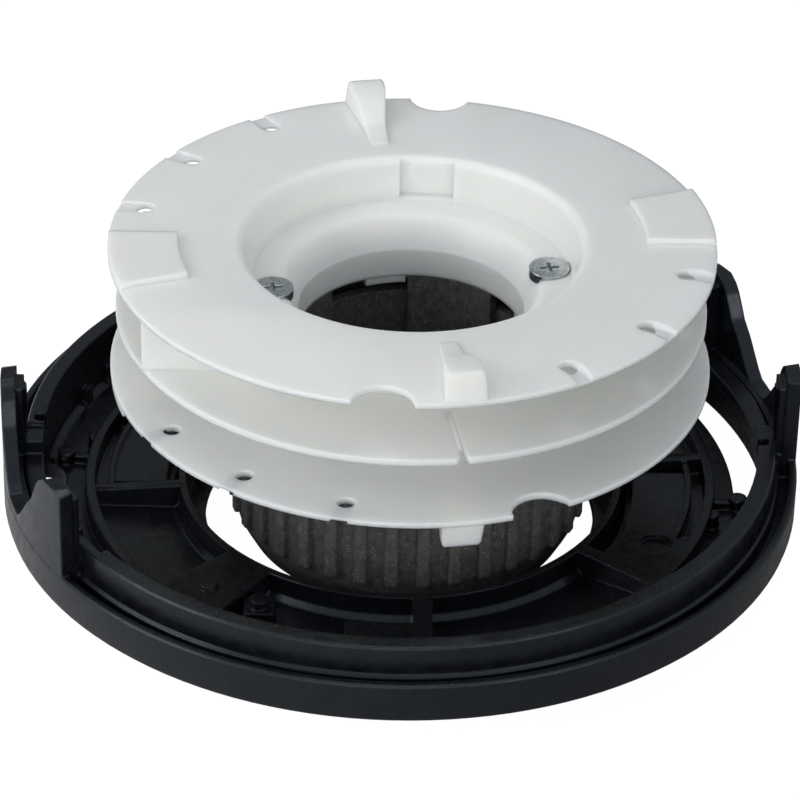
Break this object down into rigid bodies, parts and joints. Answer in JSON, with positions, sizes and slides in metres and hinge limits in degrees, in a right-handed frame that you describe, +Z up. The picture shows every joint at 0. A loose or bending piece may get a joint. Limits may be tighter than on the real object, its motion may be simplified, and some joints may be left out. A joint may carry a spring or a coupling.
{
  "type": "string trimmer line spool with cover ring",
  "caption": "Line spool for a string trimmer head: a double groove spool screwed to a ribbed knob, standing in its dished cover ring with an outlet eyelet on each side.",
  "frame": {"origin": "On the table, on the axis of the cover ring.", "axes": "+Z up, along the axis of the cover ring and of the reel. +X runs to the right and -Y to the front, as the head is seen lying open."},
  "size_m": [0.1342, 0.1342, 0.0587],
  "materials": {
    "ring_black": "satin black glass filled nylon",
    "spool_white": "translucent natural white nylon, satin",
    "knob_black": "dark grey nylon with fine light specks",
    "screw_zinc": "zinc plated, cross recessed"
  },
  "bodies": {
    "ring": {"cover_ring": "ring_black"},
    "reel": {"spool": "spool_white", "knob": "knob_black", "knob_screws": "screw_zinc"}
  },
  "joints": [
    {"name": "reel_spin", "type": "hinge", "parent": "ring", "child": "reel", "pos_m": [0.0013, 0, 0], "axis": [0, 0, 1], "continuous": true}
  ]
}
